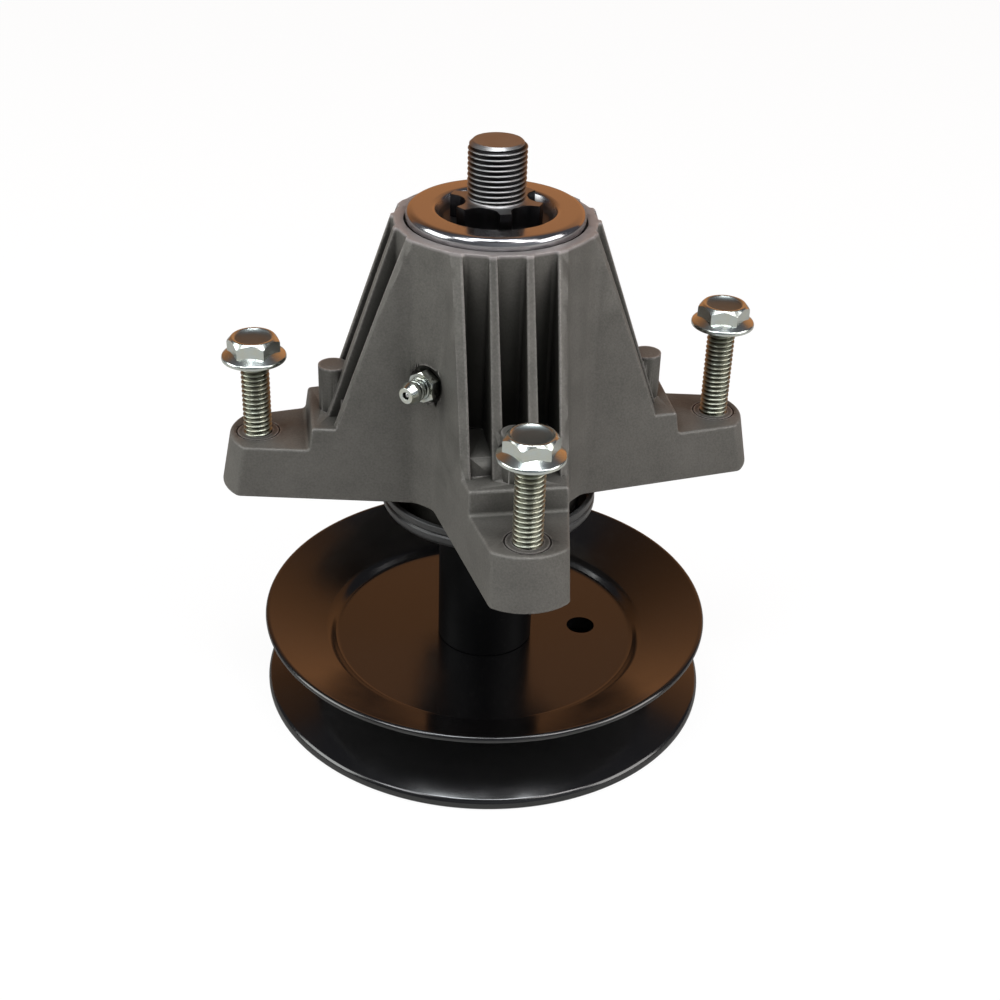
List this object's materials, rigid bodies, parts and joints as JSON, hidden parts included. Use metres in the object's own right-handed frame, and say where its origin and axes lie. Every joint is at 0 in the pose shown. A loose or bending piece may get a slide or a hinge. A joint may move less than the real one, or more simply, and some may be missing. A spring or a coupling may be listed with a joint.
{
  "type": "mower deck spindle",
  "caption": "Lawn mower deck spindle: cast four-legged housing, sealed ball bearings, star-ended blade stud, V-belt pulley, dust covers, deck bolts and grease fitting.",
  "frame": {"origin": "on the spindle axis, at the lowest edge of the pulley, on which the spindle stands", "axes": "+Z along the spindle axis towards the blade stud; the four housing legs lie along X and Y"},
  "size_m": [0.1534, 0.1534, 0.1707],
  "materials": {
    "cast_housing": "as cast, matt grey",
    "zinc_fitting": "bright zinc plate",
    "zinc_bolts": "clear to yellow zinc plate",
    "zinc_nut": "clear zinc plate",
    "bearing_steel": "ground",
    "spring_steel": "drawn wire",
    "seal_rubber": "moulded",
    "shaft_steel": "turned and oiled",
    "bright_cap": "polished zinc plate",
    "spacer_steel": "cold drawn",
    "cage_steel": "pressed",
    "shield_black": "semi-gloss black",
    "gloss_black": "gloss black powder coat"
  },
  "bodies": {
    "housing": {"spindle_housing": "cast_housing", "grease_fitting": "zinc_fitting", "grease_check_spring": "spring_steel", "mounting_bolts": "zinc_bolts", "blade_bearing_outer_ring": "bearing_steel", "blade_bearing_seals": "seal_rubber", "pulley_bearing_outer_ring": "bearing_steel", "pulley_bearing_seals": "seal_rubber"},
    "rotor": {"spindle_shaft": "shaft_steel", "blade_side_dust_cap": "bright_cap", "blade_bearing_inner_ring": "bearing_steel", "bearing_spacer_tube": "spacer_steel", "pulley_bearing_inner_ring": "bearing_steel", "pulley_side_dust_shield": "shield_black", "pulley_hub_tube": "gloss_black", "pulley_upper_half": "gloss_black", "pulley_lower_half": "gloss_black", "pulley_washer": "zinc_nut", "pulley_nut": "zinc_nut"},
    "blade_bearing_ball_train": {"blade_bearing_cage": "cage_steel", "blade_bearing_balls": "bearing_steel"},
    "pulley_bearing_ball_train": {"pulley_bearing_cage": "cage_steel", "pulley_bearing_balls": "bearing_steel"},
    "check_ball": {"grease_check_ball": "bearing_steel"}
  },
  "joints": [
    {"name": "spindle_spin", "type": "hinge", "parent": "housing", "child": "rotor", "pos_m": [0, 0, 0.08823], "axis": [0, 0, 1], "continuous": true},
    {"name": "blade_bearing_ball_spin", "type": "hinge", "parent": "housing", "child": "blade_bearing_ball_train", "pos_m": [0, 0, 0.14033], "axis": [0, 0, 1], "continuous": true},
    {"name": "pulley_bearing_ball_spin", "type": "hinge", "parent": "housing", "child": "pulley_bearing_ball_train", "pos_m": [0, 0, 0.07253], "axis": [0, 0, 1], "continuous": true},
    {"name": "check_ball_slide", "type": "slide", "parent": "housing", "child": "check_ball", "axis": [0.7071, 0.7071, 0], "range_m": [0, 0.0008], "stiffness_N_per_m": 400, "springref_m": -0.0004}
  ],
  "couplings": [
    {"joint": "blade_bearing_ball_spin", "follows": "spindle_spin", "ratio": 0.3815},
    {"joint": "pulley_bearing_ball_spin", "follows": "spindle_spin", "ratio": 0.3815}
  ]
}
